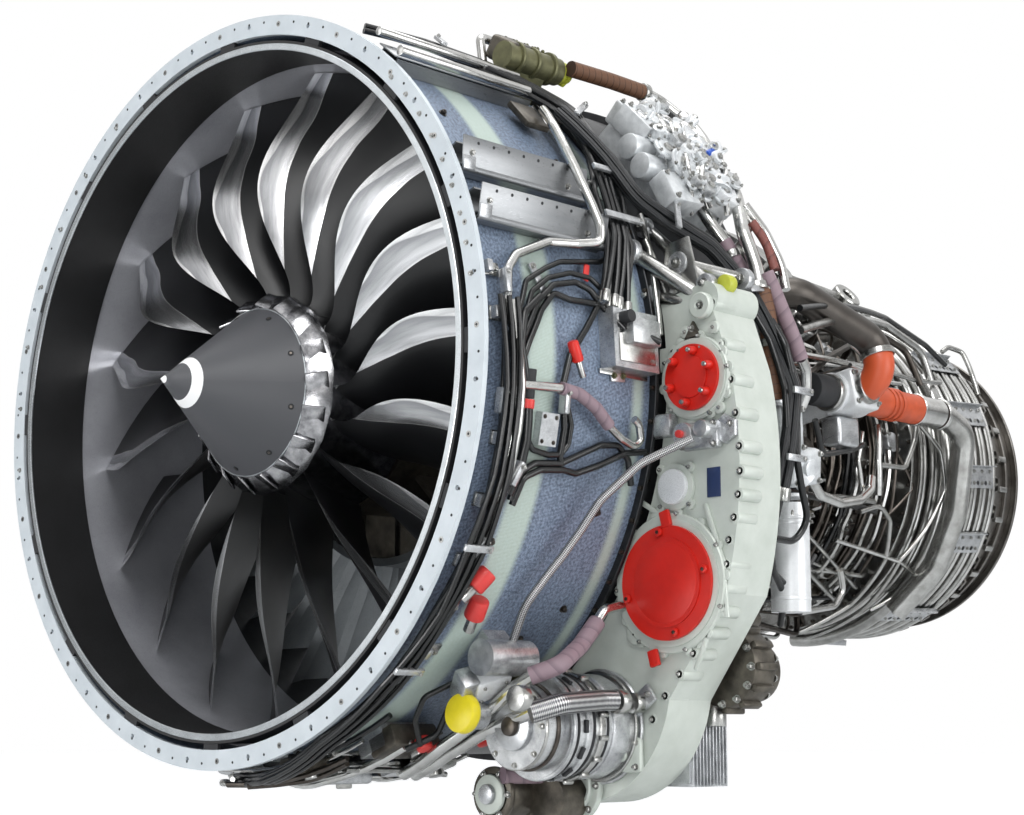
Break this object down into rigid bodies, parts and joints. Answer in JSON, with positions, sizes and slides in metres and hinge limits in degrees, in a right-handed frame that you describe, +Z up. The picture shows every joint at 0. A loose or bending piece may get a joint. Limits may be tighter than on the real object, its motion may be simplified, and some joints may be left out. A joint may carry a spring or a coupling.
{
  "type": "turbofan engine",
  "caption": "Two-spool geared turbofan without its nacelle: wide-chord fan in a woven barrel case, accessory gearbox on its side, bare core and turbine exhaust.",
  "frame": {"origin": "centre of the inlet flange's front face, on the engine's axis", "axes": "+Y along the engine's axis towards the exhaust, +Z up, +X towards the accessory gearbox"},
  "size_m": [2.2211, 3.368, 2.1369],
  "materials": {
    "flange_metal": "machined satin",
    "woven_composite": "woven carbon under clear resin",
    "dark_liner": "matt perforated skin",
    "pad_rubber": "matt",
    "rub_grey": "matt filler",
    "frame_metal": "anodised satin",
    "vane_paint": "satin",
    "blade_metal": "dark coating with a bright edge sheath",
    "hub_metal": "polished",
    "spinner_paint": "satin charcoal",
    "steel": "machined",
    "core_metal": "heat tinted",
    "turbine_metal": "heat tinted",
    "gearbox_casting": "cast, painted",
    "cover_red": "semi-gloss",
    "generator_metal": "satin",
    "dark_casting": "matt",
    "can_paint": "satin",
    "valve_olive": "chromated",
    "rail_metal": "brushed",
    "sleeve_orange": "matt silicone"
  },
  "bodies": {
    "engine": {"inlet_flange": "flange_metal", "fan_case": "woven_composite", "inlet_liner": "dark_liner", "liner_pads": "pad_rubber", "rub_strip": "rub_grey", "fan_frame": "frame_metal", "splitter": "frame_metal", "exit_guide_vanes": "vane_paint", "reduction_gearbox": "generator_metal", "core_inlet_case": "frame_metal", "core_inlet_struts": "frame_metal", "compressor_case": "core_metal", "diffuser_case": "core_metal", "high_turbine_case": "turbine_metal", "low_turbine_case": "turbine_metal", "exhaust_case": "turbine_metal", "tail_struts": "turbine_metal", "tail_hub": "turbine_metal", "combustor": "turbine_metal", "accessory_gearbox": "gearbox_casting", "large_pad_cover": "cover_red", "small_pad_cover": "cover_red", "generator": "generator_metal", "scavenge_pump": "dark_casting", "hydraulic_pump": "dark_casting", "oil_cooler": "generator_metal", "oil_filter": "can_paint", "fuel_control": "generator_metal", "control_valve": "valve_olive", "air_valve": "generator_metal", "support_rails": "rail_metal", "bleed_valve": "can_paint", "bleed_duct": "sleeve_orange", "front_mount": "steel", "rear_mount": "steel", "feed_duct": "sleeve_orange", "bleed_elbow": "steel", "cooling_tubes": "turbine_metal", "rear_flange": "turbine_metal", "mount_yoke": "steel", "thrust_links": "steel", "core_pipes": "steel", "core_boxes": "dark_casting", "riser_pipes": "steel", "barrel_pipes": "steel", "barrel_boxes": "steel"},
    "fan": {"fan_blades": "blade_metal", "fan_hub": "hub_metal", "spinner": "spinner_paint", "fan_shaft": "steel"},
    "low_spool": {"low_compressor_rotor": "steel", "low_shaft": "steel", "low_turbine_rotor": "turbine_metal"},
    "high_spool": {"high_compressor_rotor": "steel", "high_turbine_rotor": "turbine_metal"}
  },
  "joints": [
    {"name": "low_spool_spin", "type": "hinge", "parent": "engine", "child": "low_spool", "pos_m": [0, 1.6, 0], "axis": [0, 1, 0], "continuous": true},
    {"name": "fan_spin", "type": "hinge", "parent": "engine", "child": "fan", "pos_m": [0, 0.265, 0], "axis": [0, 1, 0], "continuous": true},
    {"name": "high_spool_spin", "type": "hinge", "parent": "engine", "child": "high_spool", "pos_m": [0, 1.6, 0], "axis": [0, 1, 0], "continuous": true}
  ],
  "couplings": [
    {"joint": "fan_spin", "follows": "low_spool_spin", "ratio": -0.3333}
  ]
}
